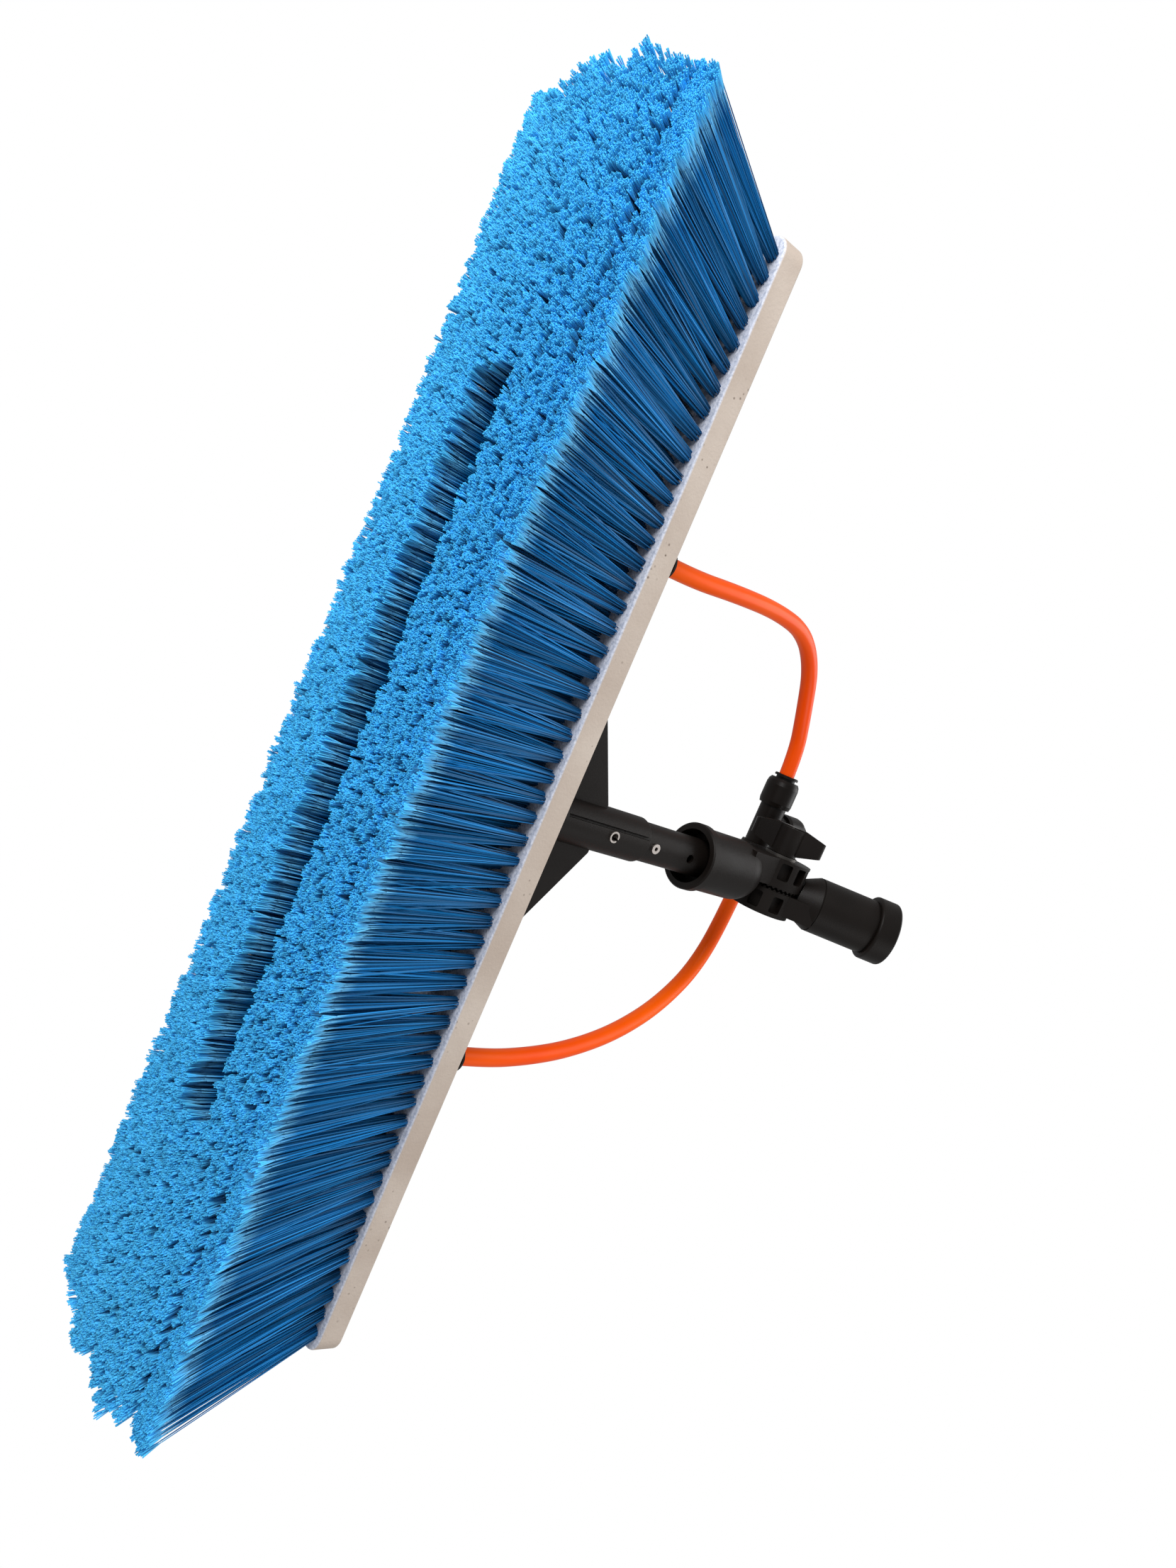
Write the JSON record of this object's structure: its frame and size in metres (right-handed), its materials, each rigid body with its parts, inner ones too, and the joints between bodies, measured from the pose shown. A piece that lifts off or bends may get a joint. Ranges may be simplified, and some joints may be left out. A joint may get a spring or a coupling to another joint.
{
  "type": "water-fed wash brush head",
  "caption": "Long rectangular wash brush head with flared blue bristles, tilting pole socket with a wing nut, and water hoses from a push-fit tee to jets in the block.",
  "frame": {"origin": "middle of the bristle tips' plane, under the middle of the block", "axes": "+X along the block, -Y to the side the pole socket leans to, +Z from the bristle tips up to the pole socket"},
  "size_m": [0.598, 0.1218, 0.3737],
  "materials": {
    "cream_plastic": "matte, finely pitted",
    "bristle": "crimped filaments with split tips",
    "black_plastic": "satin, fine grain",
    "black_fitting": "satin, smooth moulded",
    "collet": "satin",
    "pin_steel": "plain",
    "screw_steel": "plain",
    "bolt_steel": "plain",
    "jet_brass": "turned",
    "seal_rubber": "smooth",
    "hose": "glossy"
  },
  "bodies": {
    "head": {"block": "cream_plastic", "bristles_front": "bristle", "bristles_rear": "bristle", "bristles_left_end": "bristle", "bristles_right_end": "bristle", "handle_bracket": "black_plastic", "bracket_screws": "screw_steel", "neck_tube": "black_plastic", "spring_pin": "pin_steel", "neck_rivet": "pin_steel", "reducer_bush": "black_plastic", "knuckle_upper": "black_plastic", "hinge_bolt": "bolt_steel", "hinge_washer": "bolt_steel", "tee_body": "black_fitting", "tee_o_rings": "seal_rubber", "jet_fitting_left": "black_fitting", "jet_fitting_right": "black_fitting", "jet_o_rings": "seal_rubber", "jet_nozzle_left": "jet_brass", "jet_nozzle_right": "jet_brass", "hose_left": "hose", "hose_right": "hose"},
    "pole_socket": {"knuckle_lower": "black_plastic"},
    "wing_nut": {"wing_nut": "black_plastic"},
    "tee_collet_left": {"tee_collet_left": "collet"},
    "tee_collet_right": {"tee_collet_right": "collet"},
    "tee_collet_inlet": {"tee_collet_inlet": "collet"},
    "jet_collet_left": {"jet_collet_left": "collet"},
    "jet_collet_right": {"jet_collet_right": "collet"}
  },
  "joints": [
    {"name": "pole_tilt", "type": "hinge", "parent": "head", "child": "pole_socket", "pos_m": [0, 0, 0.299], "axis": [1, 0, 0], "range_deg": [-35, 50]},
    {"name": "wing_nut_spin", "type": "hinge", "parent": "head", "child": "wing_nut", "pos_m": [0, 0, 0.299], "axis": [1, 0, 0], "continuous": true},
    {"name": "tee_collet_left_press", "type": "slide", "parent": "head", "child": "tee_collet_left", "axis": [1, 0, 0], "range_m": [0, 0.0012]},
    {"name": "tee_collet_right_press", "type": "slide", "parent": "head", "child": "tee_collet_right", "axis": [-1, 0, 0], "range_m": [0, 0.0012]},
    {"name": "tee_collet_inlet_press", "type": "slide", "parent": "head", "child": "tee_collet_inlet", "axis": [0, 0, -1], "range_m": [0, 0.0012]},
    {"name": "jet_collet_left_press", "type": "slide", "parent": "head", "child": "jet_collet_left", "axis": [0, 0, -1], "range_m": [0, 0.0012]},
    {"name": "jet_collet_right_press", "type": "slide", "parent": "head", "child": "jet_collet_right", "axis": [0, 0, -1], "range_m": [0, 0.0012]}
  ]
}
